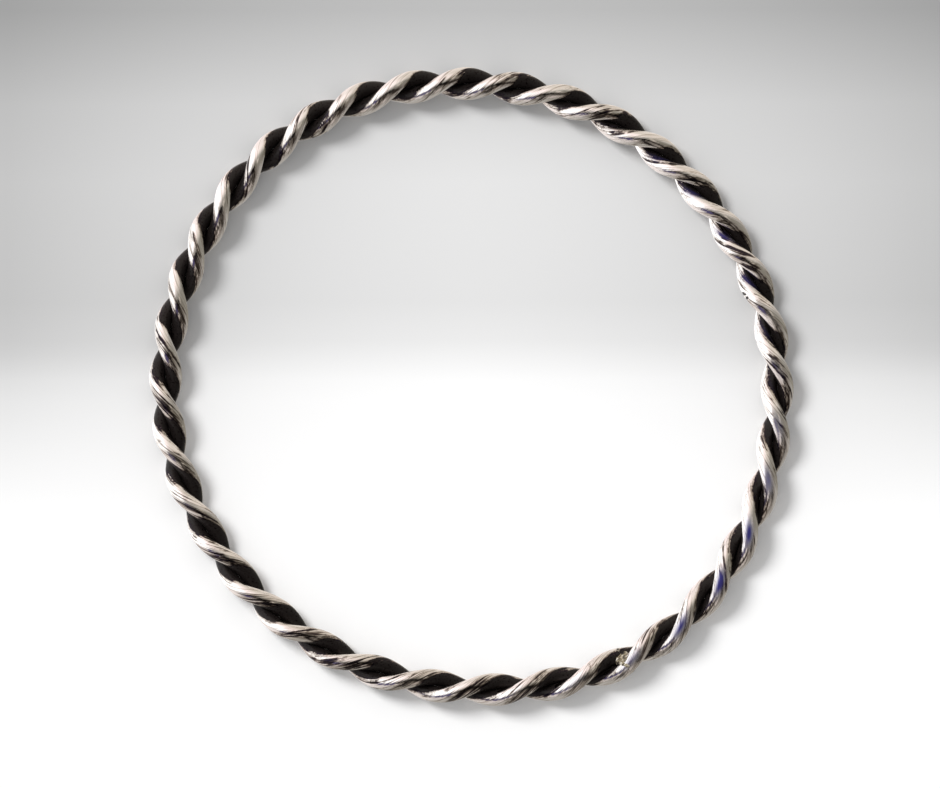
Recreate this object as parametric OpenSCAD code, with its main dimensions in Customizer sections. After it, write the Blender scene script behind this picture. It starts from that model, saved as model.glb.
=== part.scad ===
// A closed bangle of two round wires, twisted into a rope, bent into a ring by hand
// and soldered where the rope's two ends meet.
// It lies flat on z = 0, with the middle of the ring over the origin.
// Angles run anticlockwise from +X, as seen from above. Lengths are millimetres.

/* [Ring] */
// Inside diameter, which passes over the hand
inner_d = 66.7; // [50:0.1:90]
// How far the ring is out of round where it is widest, on each side
out_of_round = 0.71; // [0:0.01:2]

/* [Rope] */
// Diameter of each wire
wire_d = 1.9; // [1.2:0.05:3]
// Gap between the two wires
strand_gap = 0.04; // [0.03:0.01:0.2]
// Half turns of the twist in one lap: an odd number runs each wire on into the other
half_turns = 35; // [21:1:45]
// How far round the twist already is at +X, in half turns
twist_start = -0.18; // [-1:0.01:1]
// How far the uneven twist runs ahead or lags, in half turns
twist_drift = 0.35; // [0:0.01:0.6]

/* [Solder] */
// Where the joint lies on the ring, in degrees
seam_angle = 299; // [0:1:359]
// Length of the joint along the rope
seam_len = 1.2; // [0.6:0.1:3]
// How far the solder stands proud of the wires
seam_bead = 0.05; // [0.02:0.01:0.2]
// Thickness of the solder where it bridges the valleys between the wires
seam_waist = 1.24; // [0.6:0.02:1.8]

/* [Smoothness] */
// Sides of each wire
wire_sides = 12; // [10:2:14]
// Rings of points in each full turn of the twist
turn_rings = 18; // [12:1:20]
// Points around the solder
seam_points = 32; // [24:4:48]
// Rings of points along the solder
seam_rings = 6; // [4:1:10]

/* [Hidden] */

wire_r = wire_d / 2;
// From the rope's middle line to a wire's middle line
helix_r = wire_r + strand_gap / 2;
// From the rope's middle line to its outside, which is also how high that line lies
rope_r = helix_r + wire_r;
// Mean radius of the rope's middle line
ring_r = inner_d / 2 + rope_r;
// The angle between each wire and the rope
lay = atan(helix_r * half_turns / (2 * ring_r));
// Half the angle that the joint takes up on the ring
seam_half = seam_len / 2 / ring_r * 180 / PI;
// A tangent is measured over this many degrees each way
tangent_step = 0.05;
// The higher this power is, the sharper the solder's valleys are
solder_power = 4;
// Where each wire starts around the rope
SIDE_A = 0;
SIDE_B = 180;

// Bends that the hammer and the mandrel left in the ring.
// Columns: crests in one lap, height as a share of out_of_round, angle of a crest.
BENDS = [
    [2, 1.00, 137.5],
    [3, 0.20, 315],
    [4, 0.20, 303],
    [5, 0.07, 310],
    [6, 0.15, 305.5],
];
// Waves in the pace of the twist.
// Columns: crests in one lap, height as a share of twist_drift, angle of a crest.
DRIFTS = [
    [1, 1.00, 194.6],
    [2, 0.22, 19.5],
];
function crests(wave) = wave[0];
function share(wave) = wave[1];
function crest_angle(wave) = wave[2];
function sum(list) = [for (item = list) 1] * list;
function waves(table, ang) =
    sum([for (wave = table) share(wave) * cos(crests(wave) * (ang - crest_angle(wave)))]);

// Directions at an angle on the ring
UP = [0, 0, 1];
function outward(ang) = [cos(ang), sin(ang), 0];
function along(ang) = [-sin(ang), cos(ang), 0];
function unit(v) = v / norm(v);

// The rope's middle line, and how far the twist has turned there
function rope_point(ang) = (ring_r + out_of_round * waves(BENDS, ang)) * outward(ang) + rope_r * UP;
function twist(ang) =
    90 + 180 * (half_turns * ang / 360 + twist_start + twist_drift * waves(DRIFTS, ang));

// Direction at this turn around the rope, square to the ring: 0 is outward and 90 is up
function around(ang, turn) = cos(turn) * outward(ang) + sin(turn) * UP;

// A wire's middle line, and its direction
function wire_centre(side, ang) = rope_point(ang) + helix_r * around(ang, twist(ang) + side);
function wire_direction(side, ang) =
    unit(wire_centre(side, ang + tangent_step) - wire_centre(side, ang - tangent_step));

// One point of a wire's skin: turned from the side that faces the other wire,
// and slid along the wire into the plane that cuts the ring squarely at this angle
function wire_skin(side, ang, turn) =
    let (
        centre = wire_centre(side, ang),
        dir = wire_direction(side, ang),
        back = rope_point(ang) - centre,
        facing = unit(back - (back * dir) * dir),
        point = centre + wire_r * (cos(turn) * facing + sin(turn) * cross(dir, facing))
    )
    point - dir * (point * along(ang)) / (dir * along(ang));

// How far a wire's cut end reaches from the rope's middle line,
// in a direction this many degrees away from the wire, or 0 where it isn't met
function wire_reach(off) =
    let (
        across = wire_r / cos(lay),
        spread = pow(cos(off) / wire_r, 2) + pow(sin(off) / across, 2),
        lead = helix_r * cos(off) / pow(wire_r, 2),
        root = lead * lead - spread * (pow(helix_r / wire_r, 2) - 1)
    )
    root > 0 && lead > 0 ? (lead + sqrt(root)) / spread : 0;

// How far the solder reaches: over both wires, and across the valleys between them
function solder_reach(off) =
    pow(
        pow(wire_reach(off), solder_power)
        + pow(wire_reach(off - 180), solder_power)
        + pow(seam_waist / 2, solder_power),
        1 / solder_power
    );
// The bead rises from nothing at the joint's ends (place -1 and 1) to its height in the middle
function bead(place) = seam_bead * (1 - place * place);

// A closed skin over rings with equal numbers of points, with a fan of triangles over each end
module skin(rings) {
    count = len(rings[0]);
    last = len(rings) - 1;
    first_middle = (last + 1) * count;
    last_middle = first_middle + 1;
    polyhedron(
        points = [
            for (ring = rings) each ring,
            sum(rings[0]) / count,
            sum(rings[last]) / count,
        ],
        faces = [
            for (j = [0 : count - 1])
                let (k = (j + 1) % count)
                each [[first_middle, j, k], [last_middle, last * count + k, last * count + j]],
            for (i = [0 : last - 1], j = [0 : count - 1])
                let (a = i * count + j, b = i * count + (j + 1) % count)
                each [[a, a + count, b + count], [a, b + count, b]],
        ]
    );
}

// One lap of a wire, from one face of the joint to the other
module strand(side) {
    steps = round(half_turns / 2 * turn_rings);
    lap = 360 - 2 * seam_half;
    skin([
        for (i = [0 : steps])
            let (ang = seam_angle + seam_half + lap * i / steps)
            [for (j = [0 : wire_sides - 1]) wire_skin(side, ang, 360 * j / wire_sides)]
    ]);
}

module strand_a() {
    color("silver") strand(SIDE_A);
}

module strand_b() {
    color("silver") strand(SIDE_B);
}

module solder_seam() {
    color("darkgray") skin([
        for (i = [0 : seam_rings - 1])
            let (
                place = 2 * i / (seam_rings - 1) - 1,
                ang = seam_angle + seam_half * place
            )
            [
                for (j = [0 : seam_points - 1])
                    let (off = 360 * j / seam_points)
                    rope_point(ang) + (solder_reach(off) + bead(place)) * around(ang, twist(ang) + off)
            ]
    ]);
}

strand_a();
strand_b();
solder_seam();
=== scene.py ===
# %% [markdown]
# This lesson dresses a silver bangle: two drawn wires, twisted into a rope, bent round and
# soldered shut. Its maker dips it in liver of sulphur, which turns all of it black, and then
# polishes what a cloth can reach. So the crests shine, and the valleys stay black.
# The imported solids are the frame. They say how big each piece is and where it lies, and the
# script gives each of them a finer skin in the same place, then a finish, light and a camera.

import math

import bmesh
import bpy
from mathutils import Euler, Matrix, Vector, noise


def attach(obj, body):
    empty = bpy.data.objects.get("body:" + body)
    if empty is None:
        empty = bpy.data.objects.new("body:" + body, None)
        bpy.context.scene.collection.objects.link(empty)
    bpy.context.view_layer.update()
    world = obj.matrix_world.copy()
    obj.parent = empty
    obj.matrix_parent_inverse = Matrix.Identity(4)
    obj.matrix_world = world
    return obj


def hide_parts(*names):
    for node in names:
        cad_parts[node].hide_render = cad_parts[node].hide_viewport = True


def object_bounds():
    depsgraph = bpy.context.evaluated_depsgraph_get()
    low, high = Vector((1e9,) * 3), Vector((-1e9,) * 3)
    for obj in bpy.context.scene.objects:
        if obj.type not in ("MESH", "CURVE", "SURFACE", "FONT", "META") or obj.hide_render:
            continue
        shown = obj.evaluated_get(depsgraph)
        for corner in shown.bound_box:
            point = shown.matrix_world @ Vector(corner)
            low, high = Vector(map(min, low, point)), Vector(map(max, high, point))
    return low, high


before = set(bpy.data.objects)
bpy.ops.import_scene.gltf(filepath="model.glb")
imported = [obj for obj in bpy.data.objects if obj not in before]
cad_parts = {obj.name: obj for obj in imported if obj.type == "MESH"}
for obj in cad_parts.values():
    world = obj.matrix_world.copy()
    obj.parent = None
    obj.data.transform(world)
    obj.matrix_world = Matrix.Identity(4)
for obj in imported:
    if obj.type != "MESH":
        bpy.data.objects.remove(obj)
solid_lo, solid_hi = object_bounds()
print("solids:", [round(1000 * size, 2) for size in solid_hi - solid_lo], "mm")

# %% [markdown]
# All lengths here are metres, as in the frame, so a size in millimetres is written with MM.
# The rope lies flat, so its thickness is the height of the frame's box, and the wires follow
# from that. The bends and the uneven pace of the twist are the same short tables that shape
# the solids: a few waves round the ring, because hand work is never quite even.

# %% Sizes of the rope
MM = 0.001
INNER_D = 66.7 * MM
STRAND_GAP = 0.04 * MM
# How far the ring is out of round where it is widest, on each side
OUT_OF_ROUND = 0.71 * MM
# Half turns of the twist in one lap, how many it has made at the right of the ring, and how far
# the uneven twist runs ahead or lags
HALF_TURNS = 35
TWIST_START = -0.18
TWIST_DRIFT = 0.35
# Where the joint lies, in degrees anticlockwise from the right of the ring
SEAM_ANGLE = 299

rope_r = (solid_hi.z - solid_lo.z) / 2
wire_r = (rope_r - STRAND_GAP / 2) / 2
helix_r = wire_r + STRAND_GAP / 2
ring_r = INNER_D / 2 + rope_r
lay = math.atan(helix_r * HALF_TURNS / (2 * ring_r))

# Columns: crests in one lap, share of OUT_OF_ROUND, angle of a crest
BENDS = [
    (2, 1.00, 137.5),
    (3, 0.20, 315),
    (4, 0.20, 303),
    (5, 0.07, 310),
    (6, 0.15, 305.5),
]
# Columns: crests in one lap, share of TWIST_DRIFT, angle of a crest
DRIFTS = [
    (1, 1.00, 194.6),
    (2, 0.22, 19.5),
]
print("rope", round(2 * rope_r / MM, 2), "mm, wire", round(2 * wire_r / MM, 2), "mm")

# %% [markdown]
# A point on a twisted, bent wire is found in three steps, as the maker's hands do it. The rope's
# middle line runs round the ring. The wire's middle line turns about it. The wire's skin turns
# about that line, and the turn is zero on the crest, which is the side a polishing cloth meets.

# %% Where the rope and the wires run
UP = Vector((0, 0, 1))
# Degrees each way over which a wire's direction is measured
TANGENT_STEP = 0.05


def waves(table, angle):
    """Sum of a table's waves at an angle in degrees round the ring."""
    return sum(share * math.cos(math.radians(crests * (angle - crest))) for crests, share, crest in table)


def outward(angle):
    """Direction away from the ring's middle."""
    return Vector((math.cos(math.radians(angle)), math.sin(math.radians(angle)), 0))


def rope_point(angle):
    """A point of the rope's middle line."""
    return (ring_r + OUT_OF_ROUND * waves(BENDS, angle)) * outward(angle) + rope_r * UP


def around(angle, turn):
    """Direction at this turn around the rope: 0 is outward and 90 is up."""
    return math.cos(math.radians(turn)) * outward(angle) + math.sin(math.radians(turn)) * UP


def twist(angle):
    """How far the twist has turned, in degrees."""
    half_turns = HALF_TURNS * angle / 360 + TWIST_START + TWIST_DRIFT * waves(DRIFTS, angle)
    return 90 + 180 * half_turns


def wire_centre(side, angle):
    """A point of one wire's middle line. The wires' sides are 0 and 180."""
    return rope_point(angle) + helix_r * around(angle, twist(angle) + side)


def wire_section(side, angle):
    """The wire's middle, its direction, and the directions of its crest and of its flank."""
    centre = wire_centre(side, angle)
    step = wire_centre(side, angle + TANGENT_STEP) - wire_centre(side, angle - TANGENT_STEP)
    forward = step.normalized()
    crest = centre - rope_point(angle)
    crest = (crest - crest.dot(forward) * forward).normalized()
    return centre, forward, crest, forward.cross(crest)


print("lay of the wires", round(math.degrees(lay), 1), "degrees")

# %% [markdown]
# Each wire starts as what it was at the drawbench: a straight rod. A cylinder is cut into
# many short lengths, and each vertex keeps its place on the straight rod in an attribute
# before the rod is twisted and bent. The finish reads that attribute, so that the drawing
# marks run along the wire wherever it goes. A curve with a round bevel would be quicker, but
# it would not know which side of the wire is the crest, and the polish depends on that.

# %% Draw a straight wire
WIRE_SIDES = 56
RINGS_PER_TURN = 88
ring_count = round(HALF_TURNS / 2 * RINGS_PER_TURN)
# Edges sharper than this keep their crease, such as the rims where a wire was cut
SHARP_ANGLE = math.radians(60)
print("rings of points along each wire", ring_count)


def straight_rod(sides, cuts):
    """A closed rod of radius 1 from z = 0 to z = 1, cut into lengths."""
    rod = bmesh.new()
    bmesh.ops.create_cone(rod, cap_ends=True, segments=sides, radius1=1, radius2=1, depth=1)
    bmesh.ops.translate(rod, verts=rod.verts, vec=(0, 0, 0.5))
    lengthwise = [edge for edge in rod.edges if abs(edge.verts[0].co.z - edge.verts[1].co.z) > 0.5]
    bmesh.ops.subdivide_edges(rod, edges=lengthwise, cuts=cuts - 1, use_grid_fill=True)
    return rod


def finish_mesh(mesh, name):
    """Makes the mesh an object of that name, smooth but for its sharp edges."""
    mesh.normal_update()
    for face in mesh.faces:
        face.smooth = True
    for edge in mesh.edges:
        edge.smooth = edge.calc_face_angle(0) < SHARP_ANGLE
    data = bpy.data.meshes.new(name)
    mesh.to_mesh(data)
    mesh.free()
    piece = bpy.data.objects.new(name, data)
    bpy.context.scene.collection.objects.link(piece)
    print(name, len(data.vertices), "vertices", len(data.polygons), "faces")
    return piece


# %% [markdown]
# A cloth pulled round the ring by hand doesn't reach everywhere alike. Going round a wire from its crest,
# the polish ends at an edge, and past that edge the black stays. How far off the edge lies depends on
# whether the wire lies on top there or dives under the other one, and on the side of the ring. The black is
# the patina that the real bangle keeps in its hollows. Where it reaches further on the wires that come down
# and dive under, it is also painted shade. A brown stripe lies along the wires at the lower left of the
# ring. A painted navy reflection lies on the wires' tops at the lower right, and another deep in the
# valleys at the upper right. All this is worked out for each vertex from three angles, because that puts it
# where it is on the real one.

# %% How far the cloth reached, and where shade is painted
# The three angles, in degrees: a place's turn round its wire, which is 0 on the crest, the wire's
# turn round the rope, which is 90 on top, and the angle round the ring
ON_TOP = 90
# The cloth's edge on a wire's outer side and on its inner side, as turns round the wire
OUTER_EDGE = 103
INNER_EDGE = 85
# On the outer side the black reaches further where a wire comes down beside the other one, which is painted
# shade, and from there on the polish reached further on one side of the ring than on the other
DESCENT_TURN = 185
DESCENT_SHADE = 23
DIVE_START = 130
DIVE_LENGTH = 30
DIVE_REACH = 38
DIVE_SIDE = 43
# On the inner side it reached further where a wire lies on top, and on one side of the ring, so the black
# left on a wire that dives under is partly painted shade
TOP_REACH = 88
LOW_REACH = 34
LOW_SIDE = 300
# Where the brown stripe and the painted navy reflections lie, for each of the three angles: the middle, and
# a power that is high where they are narrow
BROWN_STRIPE = ((36, 3), (85, 0.5), (235, 0.5))
NAVY_REFLECTION_IN_VALLEY = ((112, 16), (190, 4), (32, 16))
# On the tops the first angle is the turn round the rope that the skin faces, which is 90 for up
NAVY_REFLECTION_ON_TOP = ((92, 9), (60, 4), (324, 8))
# How strong the two painted navy reflections get. Above 1 the full navy is wider
NAVY_REFLECTION_VALLEY_DEPTH = 0.65
NAVY_REFLECTION_TOP_DEPTH = 1.25


def nearness(angle, middle, power):
    """1 where two angles in degrees agree, and 0 from 90 degrees apart: a high power is narrow."""
    return max(0, math.cos(math.radians(angle - middle))) ** power


def film_share(film, *angles):
    """How much of a film lies at a place: 1 in the film's middle and 0 away from it."""
    return math.prod(nearness(angle, *limits) for angle, limits in zip(angles, film))


def patina_and_shade_past_edge(turn, rope_turn, angle):
    """Degrees past the edge of the black. That edge is the patina's, moved on the wires that come down and
    dive under to paint their shade. Above zero the wire stays black.
    """
    if turn < 0:
        side_reach = LOW_REACH * math.cos(math.radians(angle - LOW_SIDE))
        return -turn - INNER_EDGE - TOP_REACH * nearness(rope_turn, ON_TOP, 1) - side_reach
    past_start = (rope_turn - DIVE_START) % 360
    dive = min(1, past_start / DIVE_LENGTH) if past_start < 180 else 0
    towards = math.cos(math.radians(angle - DIVE_SIDE))
    side_reach = DIVE_REACH * dive * towards * abs(towards)
    return turn - OUTER_EDGE + DESCENT_SHADE * nearness(rope_turn, DESCENT_TURN, 2) - side_reach


def painted_navy_reflection(turn, rope_turn, angle):
    """How strong the painted navy reflection is, from 0 to 1."""
    on_top = NAVY_REFLECTION_TOP_DEPTH * film_share(NAVY_REFLECTION_ON_TOP, rope_turn - turn, rope_turn, angle)
    in_valley = NAVY_REFLECTION_VALLEY_DEPTH * film_share(NAVY_REFLECTION_IN_VALLEY, turn, rope_turn, angle)
    return min(1, on_top + in_valley)


def finish_at(turn, rope_turn, angle):
    """The three numbers that the wire's finish is made from: past the black's edge, which is partly painted
    shade, brown, and the painted navy reflection.
    """
    brown = film_share(BROWN_STRIPE, turn, rope_turn, angle)
    return patina_and_shade_past_edge(turn, rope_turn, angle), brown, painted_navy_reflection(turn, rope_turn, angle)


print("polished to", round(-patina_and_shade_past_edge(0, ON_TOP, 0)), "degrees from the crest of a wire on top")

# %% [markdown]
# Twisting and bending come next. The rod's rings are placed one after the other along the
# wire's route, and the ring of points is slid along the wire into a plane square to the rope,
# which is where the maker's saw cut the ends. A drawn and hand-twisted wire isn't a perfect
# tube, so its radius dips a little here and there, by hundredths of a millimetre. That is too
# little to see in the outline, but it makes the reflections waver, as they do on the real one.
# Where the two wires press together the skin swells by half the solids' gap, or a sliver of
# the table would shine through between them.

# %% Twist and bend the wires
DENT_DEPTH = 0.04 * MM
DENT_LENGTH = 3.0 * MM
DENT_WIDTH = 0.9 * MM
# The second wire's dents are taken this far along the noise for each degree of its side, so that
# they aren't a copy of the first one's
FAR_APART = 100 * MM
# Turn at which the skin starts to swell, and how much of the gap stays open
TOUCH_TURN = math.radians(140)
TOUCH_GAP = 0.004 * MM
# How far each wire's end stops short of the joint's middle, under the solder
END_GAP = 0.005 * MM


def dent(side, turn, place):
    """How far the skin dips at a turn around the wire and a place along it."""
    spot = Vector((
        wire_r * math.cos(turn) / DENT_WIDTH,
        wire_r * math.sin(turn) / DENT_WIDTH,
        (place + side * FAR_APART) / DENT_LENGTH,
    ))
    return DENT_DEPTH * (0.5 + 0.5 * noise.noise(spot))


def touch(turn):
    """Share of the swelling at a turn around the wire: none on the crest, all at the other wire."""
    share = (abs(turn) - TOUCH_TURN) / (math.pi - TOUCH_TURN)
    return max(0, share) ** 0.5


def make_strand(name, side):
    """One lap of a wire, from one face of the joint to the other."""
    rod = straight_rod(WIRE_SIDES, ring_count)
    drawn = rod.verts.layers.float_vector.new("drawn")
    finish_and_painted_light = rod.verts.layers.float_vector.new("finish_and_painted_light")
    clearance = math.degrees(END_GAP / ring_r)
    lap = 360 - 2 * clearance
    length = 2 * math.pi * ring_r / math.cos(lay)
    sections = [
        (angle, *wire_section(side, angle))
        for angle in (SEAM_ANGLE + clearance + lap * ring / ring_count for ring in range(ring_count + 1))
    ]
    for vertex in rod.verts:
        turn = math.atan2(vertex.co.y, vertex.co.x)
        place = vertex.co.z * length
        angle, centre, forward, crest, flank = sections[round(vertex.co.z * ring_count)]
        swell = touch(turn)
        reach = wire_r - (1 - swell) * dent(side, turn, place) + swell * (STRAND_GAP - TOUCH_GAP) / 2
        point = centre + reach * (math.cos(turn) * crest + math.sin(turn) * flank)
        along = UP.cross(outward(angle))
        vertex[drawn] = (wire_r / MM * math.cos(turn), wire_r / MM * math.sin(turn), place / MM)
        vertex[finish_and_painted_light] = finish_at(math.degrees(turn), twist(angle) + side, angle)
        vertex.co = point - forward * (point.dot(along) / forward.dot(along))
    piece = finish_mesh(rod, name)
    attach(piece, "root")
    return piece


strand_a = make_strand("strand_a_wire", 0)
strand_b = make_strand("strand_b_wire", 180)
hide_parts("strand_a")
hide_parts("strand_b")

# %% [markdown]
# The joint is hard silver solder. It drew the four wire ends together and filled the valleys
# between them with a lumpy fillet, and on the crests the file took it down flush with the
# wires. It is a rod of its own here, with as many points as its small pits need. Its reach is
# worked out as for the solid: over both wires, and across the valleys between them.

# %% Flow the solder
SEAM_LEN = 1.9 * MM
SEAM_WAIST = 1.8 * MM
# The higher this power is, the sharper the solder's valleys are
SOLDER_POWER = 6
SOLDER_SIDES = 180
SOLDER_RINGS = 56
# How far the solder lies under the wires' skin on the crests, and how far it thins at its ends
FILED = 0.07 * MM
FEATHER = 0.35 * MM
# The higher this power is, the closer to its ends the solder thins
END_POWER = 4
# Depth and size of the lumps, and the share of that depth by which they rise at most
LUMP = 0.16 * MM
LUMP_SIZE = 0.5 * MM
LUMP_TOP = 0.3


def wire_reach(off):
    """How far a wire's cut end reaches from the rope's middle, this many degrees off the wire."""
    across = wire_r / math.cos(lay)
    cosine = math.cos(math.radians(off))
    spread = (cosine / wire_r) ** 2 + (math.sin(math.radians(off)) / across) ** 2
    lead = helix_r * cosine / wire_r ** 2
    root = lead * lead - spread * ((helix_r / wire_r) ** 2 - 1)
    if root <= 0 or lead <= 0:
        return 0
    return (lead + math.sqrt(root)) / spread


def solder_reach(off):
    """How far the solder reaches at this turn from the first wire."""
    parts = (wire_reach(off), wire_reach(off - 180), SEAM_WAIST / 2)
    return sum(part ** SOLDER_POWER for part in parts) ** (1 / SOLDER_POWER)


def make_solder(name):
    """The joint's solder, closed, with its ends under the skin of the wires."""
    rod = straight_rod(SOLDER_SIDES, SOLDER_RINGS)
    half = math.degrees(SEAM_LEN / 2 / ring_r)
    for vertex in rod.verts:
        off = math.degrees(math.atan2(vertex.co.y, vertex.co.x))
        place = 2 * vertex.co.z - 1
        angle = SEAM_ANGLE + half * place
        direction = around(angle, twist(angle) + off)
        point = rope_point(angle) + solder_reach(off) * direction
        lumps = noise.noise(point / LUMP_SIZE)
        thinned = place ** END_POWER
        height = LUMP * min(LUMP_TOP, lumps) * (1 - thinned) - FILED - FEATHER * thinned
        vertex.co = point + height * direction
    piece = finish_mesh(rod, name)
    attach(piece, "root")
    return piece


solder = make_solder("solder_joint")
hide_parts("solder_seam")

# %% [markdown]
# A material is a small graph of nodes. Four helpers keep the graphs short: one turns an sRGB
# colour, as a paint card gives it, to the linear numbers that the renderer works in, one adds a
# node with its settings, its values and its links, one fills a colour ramp from a list, and one
# starts a material. They are used below for the wires, the solder, the room and the floor.

# %% Helpers for materials


def colour(hex_code):
    """Linear colour of an sRGB hex code."""
    channels = [int(hex_code[i:i + 2], 16) / 255 for i in (0, 2, 4)]
    linear = [c / 12.92 if c <= 0.04045 else ((c + 0.055) / 1.055) ** 2.4 for c in channels]
    return (*linear, 1)


def add(tree, kind, values=None, **settings):
    """Adds a node. A value that is a socket is linked, and any other is set."""
    new = tree.nodes.new(kind)
    for name, value in settings.items():
        setattr(new, name, value)
    for socket, value in (values or {}).items():
        if isinstance(value, bpy.types.NodeSocket):
            tree.links.new(value, new.inputs[socket])
        else:
            new.inputs[socket].default_value = value
    return new


def set_stops(ramp, stops):
    """Gives a colour ramp its stops: places in rising order, and their hex codes."""
    elements = ramp.color_ramp.elements
    for element, (place, code) in zip(elements, (stops[0], stops[-1])):
        element.position = place
        element.color = colour(code)
    for place, code in stops[1:-1]:
        elements.new(place).color = colour(code)


def new_material(name):
    """An empty material, with its output node."""
    material = bpy.data.materials.new(name)
    material.use_nodes = True
    material.node_tree.nodes.clear()
    output = add(material.node_tree, "ShaderNodeOutputMaterial")
    return material, material.node_tree, output


# %% [markdown]
# The wire is sterling silver that was drawn through a plate, blackened and polished, and each of
# these left something to see. The drawplate left long grooves, which kept some of the black, and
# finer marks, which break every reflection into lines along the wire. The dip left a fine grain
# and cloudy patches. All four are noise. Grain and patches are the same every way, and for the
# lines the noise is squeezed along the straight rod, so that they follow the wire in the twist.

# %% Marks that were left on the wire
# Real drawing marks are finer. These are about as wide as a pixel of the picture, so that they
# show.
MARK_MM = 0.10
GROOVE_MM = 0.24
GRAIN_MM = 0.11
PATCH_MM = 0.9
# A line along the wire is this many times as long as it is wide
LINE_STRETCH = 18


def scaled_noise(tree, vector, size_mm, detail):
    """Noise with features of about this size."""
    values = {"Vector": vector, "Scale": 0.5 / size_mm, "Detail": detail, "Roughness": 0.6}
    return add(tree, "ShaderNodeTexNoise", values).outputs["Fac"]


def wire_textures(tree):
    """Marks and grooves along the wire, and grain and patches all over it."""
    drawn = add(tree, "ShaderNodeAttribute", attribute_name="drawn").outputs["Vector"]
    squeezed = add(
        tree, "ShaderNodeMapping", {"Vector": drawn, "Scale": (1, 1, 1 / LINE_STRETCH)}
    ).outputs[0]
    marks = scaled_noise(tree, squeezed, MARK_MM, 2.0)
    grooves = scaled_noise(tree, squeezed, GROOVE_MM, 3.0)
    grain = scaled_noise(tree, drawn, GRAIN_MM, 1.0)
    patches = scaled_noise(tree, drawn, PATCH_MM, 4.0)
    return marks, grooves, grain, patches


# %% [markdown]
# A few black pits lie on top of the ring at the right, and more beside the joint, where the
# solder's heat roughened the wire. Each is a spot round its middle, as seen from above, with a
# rim that noise makes ragged.

# %% Black pits
# Columns: place of a pit's middle across the ring's plane, and its size, in millimetres
PITS = [
    ((30.66, 13.94), 0.20),
    ((31.21, 10.69), 0.24),
    ((31.51, 10.63), 0.12),
    ((31.77, 10.20), 0.16),
    ((17.00, -30.10), 0.22),
    ((17.45, -30.05), 0.16),
    ((17.95, -30.25), 0.25),
    ((18.30, -30.10), 0.12),
]
# How many lumps of noise there are in a millimetre of a pit's rim, and how ragged they make it,
# as a share of the pit's size
PIT_NOISE = 4.0
PIT_RAGGED = 1.2
# Shares of a pit's size at which its rim and its black floor begin
PIT_RIM = 0.55
PIT_FLOOR = 0.25
# The pits begin to show at the height of the rope's middle line, and show fully at this many
# times that height
PIT_HEIGHT = 1.15


def pits(tree):
    """How deep in a pit a place is: 0 outside all of them and 1 in the middle of one."""
    place = add(tree, "ShaderNodeTexCoord").outputs["Object"]
    flat = add(
        tree, "ShaderNodeVectorMath", {0: place, 1: (1 / MM, 1 / MM, 0)}, operation="MULTIPLY"
    ).outputs[0]
    rough = add(
        tree, "ShaderNodeTexNoise", {"Vector": flat, "Scale": PIT_NOISE, "Detail": 2.0}
    ).outputs["Fac"]
    deepest = 0.0
    for middle, size in PITS:
        away = add(
            tree, "ShaderNodeVectorMath", {0: flat, 1: (*middle, 0)}, operation="DISTANCE"
        ).outputs["Value"]
        ragged = add(
            tree, "ShaderNodeMath", {0: rough, 1: -PIT_RAGGED * size, 2: away}, operation="MULTIPLY_ADD"
        ).outputs[0]
        depth = add(
            tree, "ShaderNodeMapRange",
            {"Value": ragged, "From Min": PIT_RIM * size, "From Max": PIT_FLOOR * size},
        ).outputs[0]
        deepest = add(tree, "ShaderNodeMath", {0: deepest, 1: depth}, operation="MAXIMUM").outputs[0]
    height = add(tree, "ShaderNodeSeparateXYZ", {0: place}).outputs["Z"]
    on_top = add(
        tree, "ShaderNodeMapRange",
        {"Value": height, "From Min": rope_r, "From Max": PIT_HEIGHT * rope_r},
    ).outputs[0]
    return add(tree, "ShaderNodeMath", {0: deepest, 1: on_top}, operation="MULTIPLY").outputs[0]


# %% [markdown]
# The sulphide's thickness is one number, from 0 for bare silver to 1 for full black. Past the cloth's edge
# it is full, with specks where the crust is broken, and the noises make that edge ragged. Where the edge
# was moved onto the wires that dive under, that black is also painted shade. On the polished side thin
# films add up: in deep grooves, in some of the marks, in a band of straw along the edge and in the brown
# stripe. The pits are black whatever lies round them, so the thickest layer wins.

# %% Thickness of the sulphide, with painted shade
# How far the grooves, the patches and the grain move the cloth's edge, in degrees of turn. The
# noise is about a half on average, so together they move it by half their sum, which is allowed
# for
BY_GROOVES = 95
BY_PATCHES = 70
BY_GRAIN = 30
EDGE_MIDDLE = (BY_GROOVES + BY_PATCHES + BY_GRAIN) / 2
# Where the black begins and is full, in degrees of turn, and where the straw film before it does
BLACK_EDGE = {"From Min": EDGE_MIDDLE - 8, "From Max": EDGE_MIDDLE + 16}
STRAW_FILM = {"From Min": EDGE_MIDDLE - 30, "From Max": EDGE_MIDDLE - 8, "To Max": 0.22}
# A groove keeps its black where the patches are strong as well, which count by this share
PATCH_SHARE = 0.7
# Noise at which a groove's film and a mark's film begin and are full, and how thick they get
GROOVE_FILM = {"From Min": 0.90, "From Max": 1.06, "To Max": 0.5}
MARK_FILM = {"From Min": 0.50, "From Max": 0.68, "To Max": 0.22}
# The marks break the brown stripe into lines, and the grain breaks the black into specks
STRIPE_LINES = {"From Min": 0.42, "From Max": 0.60, "To Min": 0.2, "To Max": 0.8}
BLACK_SPECKS = {"From Min": 0.48, "From Max": 0.70, "To Min": 1.0, "To Max": 0.70}
# How thick the film of the brown stripe is
BROWN_FILM = 0.62


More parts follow.
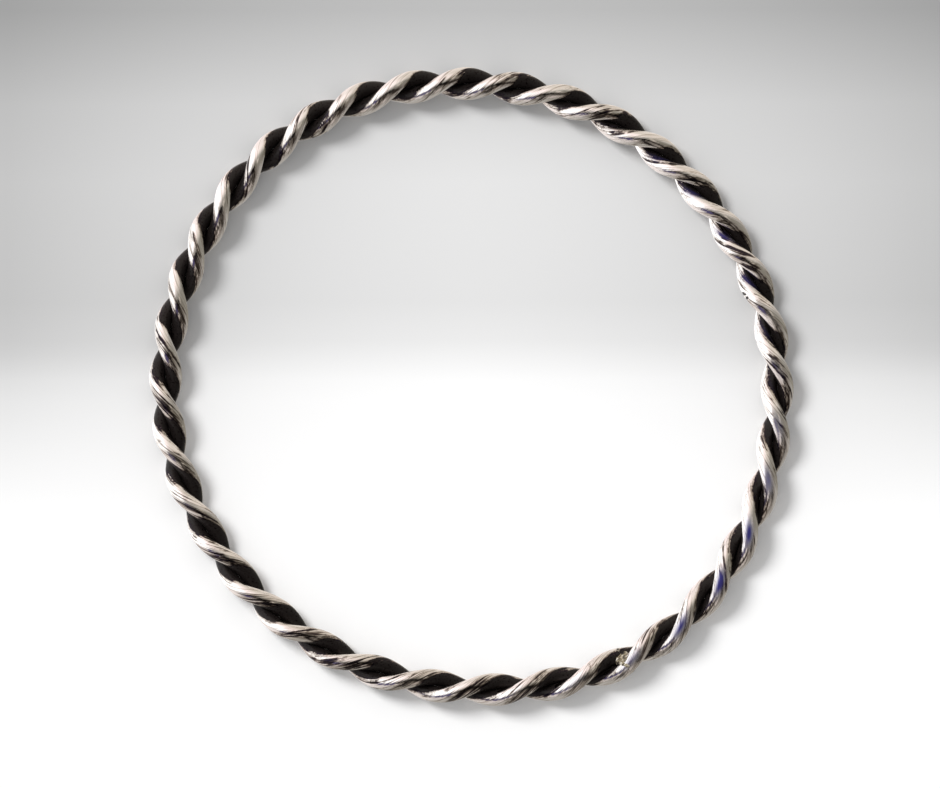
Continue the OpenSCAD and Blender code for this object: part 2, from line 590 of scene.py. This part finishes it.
def sulphide_and_painted_shade(tree, past_edge, stripe, marks, grooves, grain, patches):
    """How thick the sulphide is, with the painted shade: 0 is bare silver, and 1 is full black."""
    ragged = past_edge
    for texture, degrees in ((grooves, BY_GROOVES), (patches, BY_PATCHES), (grain, BY_GRAIN)):
        ragged = add(
            tree, "ShaderNodeMath", {0: texture, 1: degrees, 2: ragged}, operation="MULTIPLY_ADD"
        ).outputs[0]
    deep = add(
        tree, "ShaderNodeMath", {0: patches, 1: PATCH_SHARE, 2: grooves}, operation="MULTIPLY_ADD"
    ).outputs[0]
    groove, tarnish, straw, lines, specks, black = (
        add(tree, "ShaderNodeMapRange", {"Value": value, **limits}).outputs[0]
        for value, limits in (
            (deep, GROOVE_FILM), (marks, MARK_FILM), (ragged, STRAW_FILM),
            (marks, STRIPE_LINES), (grain, BLACK_SPECKS), (ragged, BLACK_EDGE),
        )
    )
    brown = add(tree, "ShaderNodeMath", {0: stripe, 1: lines}, operation="MULTIPLY").outputs[0]
    thickest = groove
    for film, thickness in ((tarnish, 1.0), (straw, 1.0), (brown, BROWN_FILM)):
        thickest = add(
            tree, "ShaderNodeMath", {0: film, 1: thickness, 2: thickest}, operation="MULTIPLY_ADD"
        ).outputs[0]
    crust = add(tree, "ShaderNodeMath", {0: black, 1: specks}, operation="MULTIPLY").outputs[0]
    for layer in (crust, pits(tree)):
        thickest = add(tree, "ShaderNodeMath", {0: layer, 1: thickest}, operation="MAXIMUM").outputs[0]
    return thickest


# %% [markdown]
# The finish goes by that thickness. Thin sulphide is straw and brown, then violet, and thick sulphide is
# black. Where the black was moved onto the wires that dive under, it is painted shade. Where the vertices
# say navy, the colour is a painted reflection: a clear blue whatever the thickness, standing in for the
# navy that the real wires reflect on their tops and deep in some valleys. Polished silver and thin film are
# metal, and mirror the room. The thick sulphide isn't: it is a dark skin with a faint gloss, so it is no
# metal to the shader. The marks, the grooves and the grain are also relief, a little of it, so that the
# mirror image on the wire is drawn out into streaks.

# %% Oxidised and polished sterling silver, with painted shade and a painted navy reflection
# Columns: thickness of the sulphide, and its colour
SULPHIDE_COLOURS = [
    (0.0, "F7F3F2"),
    (0.15, "DFD8D2"),
    (0.3, "8F857D"),
    (0.42, "4A413D"),
    (0.58, "241F30"),
    (0.74, "251F1E"),
    (1.0, "1A1615"),
]
# Colour of the painted navy reflection
PAINTED_NAVY_COLOUR = "413E80"
# The thickness over which the sulphide stops being metal, and how much less metallic the painted navy
# reflection is
METAL_ENDS = {"From Min": 0.7, "From Max": 0.95, "To Max": 0.0}
NAVY_REFLECTION_METAL_LOSS = 0.6
# How rough the bare silver and the black are, and how glossy the black is
SILVER_ROUGHNESS = 0.08
BLACK_ROUGHNESS = 0.34
BLACK_GLOSS = 0.25
# Depth of the marks, and how deep the grooves and the grain are next to them
MARK_DEPTH = 0.02 * MM
GROOVE_SHARE = 1.3
GRAIN_SHARE = 0.35


def sterling(name):
    """Sterling silver wire, oxidised in the valleys and polished on the crests, with painted shade on the
    wires that dive under and a painted navy reflection.
    """
    material, tree, output = new_material(name)
    finish_and_painted_light = add(tree, "ShaderNodeAttribute", attribute_name="finish_and_painted_light").outputs["Vector"]
    past_edge, stripe, navy = add(tree, "ShaderNodeSeparateXYZ", {0: finish_and_painted_light}).outputs
    marks, grooves, grain, patches = wire_textures(tree)
    oxide_and_painted_shade = sulphide_and_painted_shade(tree, past_edge, stripe, marks, grooves, grain, patches)

    skin = add(tree, "ShaderNodeValToRGB", {0: oxide_and_painted_shade})
    set_stops(skin, SULPHIDE_COLOURS)
    tinted = add(
        tree, "ShaderNodeMix", {0: navy, 6: skin.outputs[0], 7: colour(PAINTED_NAVY_COLOUR)}, data_type="RGBA"
    )
    most_metal = add(
        tree, "ShaderNodeMath", {0: navy, 1: -NAVY_REFLECTION_METAL_LOSS, 2: 1.0}, operation="MULTIPLY_ADD"
    ).outputs[0]
    metal = add(tree, "ShaderNodeMapRange", {"Value": oxide_and_painted_shade, "To Min": most_metal, **METAL_ENDS})
    rough = add(
        tree, "ShaderNodeMapRange",
        {"Value": oxide_and_painted_shade, "To Min": SILVER_ROUGHNESS, "To Max": BLACK_ROUGHNESS},
    )
    relief = marks
    for texture, share in ((grooves, GROOVE_SHARE), (grain, GRAIN_SHARE)):
        relief = add(
            tree, "ShaderNodeMath", {0: texture, 1: share, 2: relief}, operation="MULTIPLY_ADD"
        ).outputs[0]
    bump = add(tree, "ShaderNodeBump", {"Height": relief, "Distance": MARK_DEPTH})
    shader = add(
        tree, "ShaderNodeBsdfPrincipled",
        {"Base Color": tinted.outputs[2], "Metallic": metal.outputs[0], "Roughness": rough.outputs[0],
         "Specular IOR Level": BLACK_GLOSS, "Normal": bump.outputs[0]},
    )
    tree.links.new(shader.outputs[0], output.inputs["Surface"])
    return material


wire_finish = sterling("sterling_silver_oxidised_polished_and_painted_light")
strand_a.data.materials.append(wire_finish)
strand_b.data.materials.append(wire_finish)

# %% [markdown]
# Solder is a silver alloy with more brass in it, so it is a shade yellower than the wire. It
# cools with a grainy skin and small pits, and the dip blackens the pits. So it is a mottled
# straw colour with black specks, brighter than the black valleys on either side of it.

# %% Pitted silver solder
MOTTLE_MM = 0.17
# Columns: the mottle's noise, and the solder's colour there
SOLDER_COLOURS = [
    (0.42, "2A2420"),
    (0.52, "9A8C70"),
    (0.66, "F8F3E8"),
]
# Noise at which the solder begins to show as metal and shows the most, and how much that is
SOLDER_METAL = {"From Min": 0.4, "From Max": 0.55, "To Max": 0.5}
SOLDER_ROUGHNESS = 0.3
SOLDER_RELIEF = 0.12 * MM


def pitted_solder(name):
    """Silver solder with a grainy skin and black pits."""
    material, tree, output = new_material(name)
    place = add(tree, "ShaderNodeTexCoord")
    mottle = add(
        tree, "ShaderNodeTexNoise",
        {"Vector": place.outputs["Object"], "Scale": 0.5 / (MOTTLE_MM * MM), "Detail": 3.0,
         "Roughness": 0.65},
    ).outputs["Fac"]
    skin = add(tree, "ShaderNodeValToRGB", {0: mottle})
    set_stops(skin, SOLDER_COLOURS)
    metal = add(
        tree, "ShaderNodeMapRange", {"Value": mottle, **SOLDER_METAL}, interpolation_type="SMOOTHSTEP"
    )
    bump = add(tree, "ShaderNodeBump", {"Height": mottle, "Distance": SOLDER_RELIEF})
    shader = add(
        tree, "ShaderNodeBsdfPrincipled",
        {"Base Color": skin.outputs[0], "Metallic": metal.outputs[0], "Roughness": SOLDER_ROUGHNESS,
         "Normal": bump.outputs[0]},
    )
    tree.links.new(shader.outputs[0], output.inputs["Surface"])
    return material


solder.data.materials.append(pitted_solder("silver_solder_pitted"))

# %% [markdown]
# Metal shows little of itself and much of the room. The room here is a plain soft studio: a
# broad white window on the left with pale walls round it, a beige wall behind under a bright
# ceiling, an olive wall with a shelf on the right, and a dim end towards the viewer with a table
# at the left. Overhead are the camera, a lamp beside it, its stand and two arms, with slits of
# light between them, and a navy curtain. All this is painted on the world in the coordinates of
# a mirror ball seen from above, because that is how the bangle sees it: a place on the ball is
# the slope of the metal that reflects that part of the room upwards. Each thing in the room is
# one soft oval, and a later one hides an earlier one.

# %% Studio
ROOM_LIGHT = 1.39
ROOM_COLOUR = "96938D"
# Matte things, such as the floor, get their soft light from a neutral sky, and past the floor the
# camera sees a plain backdrop
FILL_COLOUR = "A7A7A7"
BACKDROP_COLOUR = "E0E0E0"
# Columns: name, middle on the ball, half width, half height, turn in degrees, softness, colour
ROOM = [
    ("olive wall", (0.72, 0.10), 0.66, 0.24, 10, 0.45, "7A776E"),
    ("beige wall", (0.00, 0.86), 0.74, 0.68, 12, 0.18, "C2BAAF"),
    ("bright ceiling", (0.05, 1.05), 0.75, 0.26, 0, 0.60, "CEC7BE"),
    ("pale wall", (-0.74, 0.62), 0.48, 0.60, 0, 0.60, "E8DEDB"),
    ("pale corner", (-0.87, -0.54), 0.46, 0.38, 0, 0.60, "DAD4D1"),
    ("bright wall", (-0.42, 0.27), 0.42, 0.24, 15, 0.60, "F2E6E3"),
    ("dim end of the room", (0.16, -0.34), 0.52, 0.34, -5, 0.40, "6A645D"),
    ("white window", (-0.86, 0.08), 0.64, 0.42, 20, 0.12, "FFFFFF"),
    ("shelf", (0.40, 0.00), 0.28, 0.10, 0, 0.40, "6F6B62"),
    ("left arm", (-0.18, -0.16), 0.24, 0.07, 26, 0.30, "221D20"),
    ("navy curtain", (-0.34, -0.25), 0.18, 0.11, 35, 0.25, "45405C"),
    ("right arm", (0.32, -0.30), 0.26, 0.09, -38, 0.35, "2A2521"),
    ("stand", (0.02, -0.44), 0.06, 0.28, 0, 0.30, "1C1716"),
    ("camera", (0.06, -0.10), 0.14, 0.09, -10, 0.25, "0E0B0B"),
    ("lamp beside the camera", (0.24, 0.04), 0.05, 0.08, 20, 0.50, "B5ADA2"),
    ("table left", (-0.36, -0.46), 0.15, 0.09, -30, 0.40, "B8B1AD"),
    ("gap left of the stand", (-0.18, -0.36), 0.12, 0.05, 10, 0.40, "BDB6B0"),
    ("gap right of the stand", (0.19, -0.54), 0.08, 0.10, 0, 0.40, "A79F98"),
]


def place_on_ball(tree):
    """Where a direction of the room lies on a mirror ball of radius 1 seen from above: its X and Y
    over the root of 2 (1 + Z), with a little added so that straight down divides by no zero."""
    place = add(tree, "ShaderNodeTexCoord")
    axes = add(tree, "ShaderNodeSeparateXYZ", {0: place.outputs["Generated"]})
    height = add(tree, "ShaderNodeMath", {0: axes.outputs["Z"], 1: 2.0, 2: 2.001}, operation="MULTIPLY_ADD")
    size = add(tree, "ShaderNodeMath", {0: height.outputs[0], 1: 0.5}, operation="POWER")
    across, upward = (
        add(tree, "ShaderNodeMath", {0: axes.outputs[axis], 1: size.outputs[0]}, operation="DIVIDE")
        for axis in ("X", "Y")
    )
    return add(tree, "ShaderNodeCombineXYZ", {0: across.outputs[0], 1: upward.outputs[0]}).outputs[0]


def paint_room(tree, ball):
    """Colour of the room at a place on the mirror ball."""
    paint = add(tree, "ShaderNodeRGB")
    paint.outputs[0].default_value = colour(ROOM_COLOUR)
    light = paint.outputs[0]
    for name, middle, half_w, half_h, tilt, softness, code in ROOM:
        oval = add(
            tree, "ShaderNodeMapping",
            {"Vector": ball, "Location": (*middle, 0), "Rotation": (0, 0, math.radians(tilt)),
             "Scale": (half_w, half_h, 1)},
            vector_type="TEXTURE", label=name,
        )
        far = add(tree, "ShaderNodeVectorMath", {0: oval.outputs[0]}, operation="LENGTH")
        share = add(
            tree, "ShaderNodeMapRange",
            {"Value": far.outputs["Value"], "From Min": 1 + softness, "From Max": 1 - softness},
            interpolation_type="SMOOTHSTEP",
        )
        light = add(
            tree, "ShaderNodeMix", {0: share.outputs[0], 6: light, 7: colour(code)}, data_type="RGBA"
        ).outputs[2]
    return light


def make_world():
    """The room for the metal, a neutral sky for matte things and a backdrop for the camera."""
    world = bpy.data.worlds.new("soft_studio")
    bpy.context.scene.world = world
    world.use_nodes = True
    tree = world.node_tree
    tree.nodes.clear()
    light = paint_room(tree, place_on_ball(tree))
    rays = add(tree, "ShaderNodeLightPath")
    for kind, code in (("Is Diffuse Ray", FILL_COLOUR), ("Is Camera Ray", BACKDROP_COLOUR)):
        light = add(
            tree, "ShaderNodeMix", {0: rays.outputs[kind], 6: light, 7: colour(code)}, data_type="RGBA"
        ).outputs[2]
    background = add(tree, "ShaderNodeBackground", {"Color": light, "Strength": ROOM_LIGHT})
    output = add(tree, "ShaderNodeOutputWorld")
    tree.links.new(background.outputs[0], output.inputs["Surface"])


make_world()
print(len(ROOM), "things in the room")

# %% [markdown]
# One broad lamp up on the left gives the floor its brightness and the bangle its soft shadow
# to the lower right. It is a sun with a wide disc, because a shadow's softness depends on how
# wide the lamp looks from the floor. The metal already sees the window, so the lamp is kept
# out of its reflections.

# %% Key light
# In degrees: which side the lamp stands on, how far from overhead it is and how wide it looks
KEY_SIDE = 141
KEY_LEAN = 42.5
KEY_WIDTH = 23
KEY_ENERGY = 2.17

key_data = bpy.data.lights.new("key", "SUN")
key_data.energy = KEY_ENERGY
key_data.angle = math.radians(KEY_WIDTH)
key = bpy.data.objects.new("key", key_data)
key.rotation_euler = (0, math.radians(KEY_LEAN), math.radians(KEY_SIDE))
key.visible_glossy = False
bpy.context.scene.collection.objects.link(key)
print("lamp", KEY_LEAN, "degrees from overhead")

# %% [markdown]
# The floor is a sheet of pale card, white towards the viewer and greyer towards the back and the sides,
# where the light falls off. It isn't part of the bangle.

# %% Floor
# Half the width of the sheet
FLOOR_HALF = 600 * MM
# The card's colour carries a painted falloff of the light: greyer towards the back and the sides
# Columns: how far back in millimetres, brightness there
BACK_FADE = [
    (-7, "FDFDFD"),
    (-1.5, "FCFCFC"),
    (1, "F9F9F9"),
    (5.5, "E8E8E8"),
    (10, "E1E1E1"),
    (24, "E3E3E3"),
    (33, "DBDBDB"),
    (44, "BBBBBB"),
]
# Half the width of the picture. From there on the sides have lost this share of their light
SIDE_MM = 54
SIDE_LOSS = 0.30
# The higher this power is, the closer to the sides the light falls off
SIDE_POWER = 1.6
# How far back the sides begin to lose light, and how far back the loss is full
SIDE_START_MM = -16
SIDE_FULL_MM = 4


def light_kept(tree, across, back):
    """Share of the card's colour that the painted falloff of the light keeps, which is less at the sides.
    """
    sideways = add(tree, "ShaderNodeMath", {0: across}, operation="ABSOLUTE")
    off_middle = add(
        tree, "ShaderNodeMapRange", {"Value": sideways.outputs[0], "From Max": SIDE_MM * MM}
    )
    curve = add(
        tree, "ShaderNodeMath", {0: off_middle.outputs[0], 1: SIDE_POWER}, operation="POWER"
    )
    loss = add(
        tree, "ShaderNodeMapRange",
        {"Value": back, "From Min": SIDE_START_MM * MM, "From Max": SIDE_FULL_MM * MM,
         "To Max": -SIDE_LOSS},
    )
    return add(
        tree, "ShaderNodeMath", {0: curve.outputs[0], 1: loss.outputs[0], 2: 1.0},
        operation="MULTIPLY_ADD",
    ).outputs[0]


def pale_card_painted_falloff(name):
    """Card whose colour is white towards the viewer, and greyer towards the back and the sides: a painted
    falloff of the light.
    """
    material, tree, output = new_material(name)
    place = add(tree, "ShaderNodeTexCoord")
    axes = add(tree, "ShaderNodeSeparateXYZ", {0: place.outputs["Object"]})
    across, back = axes.outputs["X"], axes.outputs["Y"]
    first, last = BACK_FADE[0][0], BACK_FADE[-1][0]
    depth = add(
        tree, "ShaderNodeMapRange", {"Value": back, "From Min": first * MM, "From Max": last * MM}
    )
    fade = add(tree, "ShaderNodeValToRGB", {0: depth.outputs[0]})
    set_stops(fade, [((distance - first) / (last - first), code) for distance, code in BACK_FADE])
    tint = add(
        tree, "ShaderNodeVectorMath", {0: fade.outputs[0], "Scale": light_kept(tree, across, back)},
        operation="SCALE",
    )
    shader = add(
        tree, "ShaderNodeBsdfPrincipled",
        {"Base Color": tint.outputs[0], "Roughness": 0.9, "Specular IOR Level": 0.0},
    )
    tree.links.new(shader.outputs[0], output.inputs["Surface"])
    return material


def make_floor():
    """A plain pale sheet under the bangle, which the metal doesn't mirror."""
    sheet = bmesh.new()
    bmesh.ops.create_grid(sheet, x_segments=1, y_segments=1, size=FLOOR_HALF)
    floor = finish_mesh(sheet, "floor")
    floor.data.materials.append(pale_card_painted_falloff("pale_card_painted_falloff"))
    floor.visible_glossy = False
    return floor


floor = make_floor()

# %% [markdown]
# The camera looks down from a little in front, as in the photograph, with a long lens so that
# the far side of the rope shows no more than it should. The view is set by the width of what
# it sees.

# %% Camera
# How wide the view is, and what lies in its middle
VIEW_WIDTH = 108.54 * MM
VIEW_TARGET = Vector((-0.24 * MM, -0.785 * MM, rope_r))
# The camera leans by these slopes to the front and to the right of straight overhead
FRONT_SLOPE = 0.06
RIGHT_SLOPE = 0.03
VIEW_LEAN = Euler((math.atan(FRONT_SLOPE), math.atan(RIGHT_SLOPE), 0))
# Width of the sensor and focal length, in millimetres
SENSOR = 36
LENS = 400

camera_data = bpy.data.cameras.new("camera")
camera_data.sensor_width = SENSOR
camera_data.lens = LENS
camera = bpy.data.objects.new("camera", camera_data)
camera.rotation_euler = VIEW_LEAN
camera.location = VIEW_TARGET + VIEW_LEAN.to_matrix() @ (UP * VIEW_WIDTH * LENS / SENSOR)
bpy.context.scene.collection.objects.link(camera)
bpy.context.scene.camera = camera
bpy.context.scene.view_settings.view_transform = "Standard"
print("view", round(VIEW_WIDTH / MM, 1), "mm wide")
